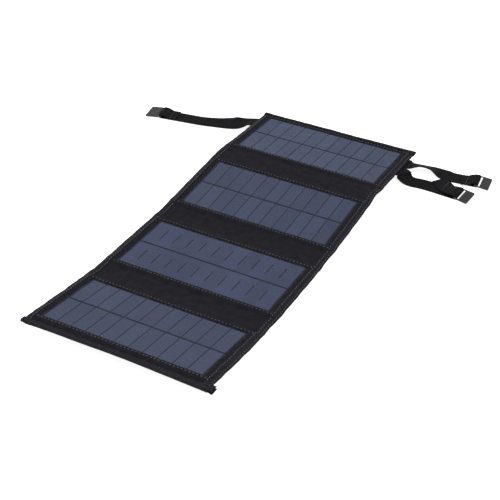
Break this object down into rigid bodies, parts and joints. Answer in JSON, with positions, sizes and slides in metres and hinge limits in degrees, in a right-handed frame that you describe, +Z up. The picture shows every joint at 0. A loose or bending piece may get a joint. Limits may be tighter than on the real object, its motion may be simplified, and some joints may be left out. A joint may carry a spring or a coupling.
{
  "type": "solar panel",
  "caption": "Folding fabric solar charger with framed panels in a row, webbing straps with hook plates at one end and a USB regulator in a rear pouch.",
  "frame": {"origin": "centre of the back of the panel that lies flat on the ground, second from the strap-free end", "axes": "+X to the right across the panels, +Y along the row towards the strap end, +Z up out of the panels' faces"},
  "size_m": [0.565, 0.6495, 0.0238],
  "materials": {
    "oxford_fabric": "matte woven, charcoal black",
    "binding_tape": "ribbed grosgrain tape",
    "backing_board": "matte black-blue board",
    "solar_cell": "blue-grey textured silicon",
    "clear_laminate": "matte clear laminate",
    "copper_ribbon": "bare copper",
    "case_plastic": "fine matte black",
    "circuit_board": "green solder mask",
    "ferrite": "dark ferrite",
    "plated_steel": "nickel plated",
    "indicator_red": "clear red",
    "webbing": "ribbed black webbing",
    "hook_plastic": "moulded matte black"
  },
  "bodies": {
    "panel_3": {"back_cover_3": "oxford_fabric", "backing_board_3": "backing_board", "solar_cells_3": "solar_cell", "front_sheet_3": "clear_laminate", "front_fabric_3": "oxford_fabric", "side_binding_3": "binding_tape", "supply_ribbons_3": "copper_ribbon"},
    "panel_2": {"back_cover_2": "oxford_fabric", "backing_board_2": "backing_board", "solar_cells_2": "solar_cell", "front_sheet_2": "clear_laminate", "front_fabric_2": "oxford_fabric", "side_binding_2": "binding_tape", "supply_ribbons_2": "copper_ribbon"},
    "panel_1": {"back_cover_1": "oxford_fabric", "backing_board_1": "backing_board", "solar_cells_1": "solar_cell", "front_sheet_1": "clear_laminate", "front_fabric_1": "oxford_fabric", "side_binding_1": "binding_tape", "supply_ribbons_1": "copper_ribbon", "far_hem": "binding_tape", "pouch": "oxford_fabric", "regulator_base": "case_plastic", "regulator_lid": "case_plastic", "circuit_board": "circuit_board", "choke_coil": "ferrite", "capacitor": "plated_steel", "usb_sockets": "plated_steel", "indicator_lens": "indicator_red", "case_screws": "plated_steel", "strap_left": "webbing", "strap_right_upper": "webbing", "strap_right_lower": "webbing"},
    "panel_4": {"back_cover_4": "oxford_fabric", "backing_board_4": "backing_board", "solar_cells_4": "solar_cell", "front_sheet_4": "clear_laminate", "front_fabric_4": "oxford_fabric", "side_binding_4": "binding_tape", "supply_ribbons_4": "copper_ribbon", "near_hem": "binding_tape", "binding_tail": "binding_tape"},
    "flap": {"pouch_flap": "oxford_fabric"},
    "left_hook": {"hook_plate_left": "hook_plastic"},
    "right_upper_hook": {"hook_plate_right_upper": "hook_plastic"},
    "right_lower_hook": {"hook_plate_right_lower": "hook_plastic"}
  },
  "joints": [
    {"name": "fold_2_3", "type": "hinge", "parent": "panel_3", "child": "panel_2", "pos_m": [0, 0.08293, 0.0175], "axis": [1, 0, 0], "range_deg": [0, 174.6]},
    {"name": "fold_1_2", "type": "hinge", "parent": "panel_2", "child": "panel_1", "pos_m": [0, 0.25038, 0.02072], "axis": [1, 0, 0], "range_deg": [0, 187.6]},
    {"name": "fold_3_4", "type": "hinge", "parent": "panel_3", "child": "panel_4", "pos_m": [0, -0.08343, 0.0051], "axis": [-1, 0, 0], "range_deg": [-7.1, 172.8]},
    {"name": "flap_lift", "type": "hinge", "parent": "panel_1", "child": "flap", "pos_m": [0, 0.38837, 0.00908], "axis": [1, 0, 0], "range_deg": [0, 85]},
    {"name": "left_hook_swing", "type": "hinge", "parent": "panel_1", "child": "left_hook", "pos_m": [-0.28043, 0.33362, 0.0036], "axis": [-0.169, 0.9856, 0], "range_deg": [0, 110]},
    {"name": "right_upper_hook_swing", "type": "hinge", "parent": "panel_1", "child": "right_upper_hook", "pos_m": [0.2358, 0.38737, 0.0036], "axis": [0.1168, -0.9932, 0], "range_deg": [0, 110]},
    {"name": "right_lower_hook_swing", "type": "hinge", "parent": "panel_1", "child": "right_lower_hook", "pos_m": [0.22341, 0.33844, 0.0036], "axis": [-0.0647, -0.9979, 0], "range_deg": [0, 110]}
  ]
}
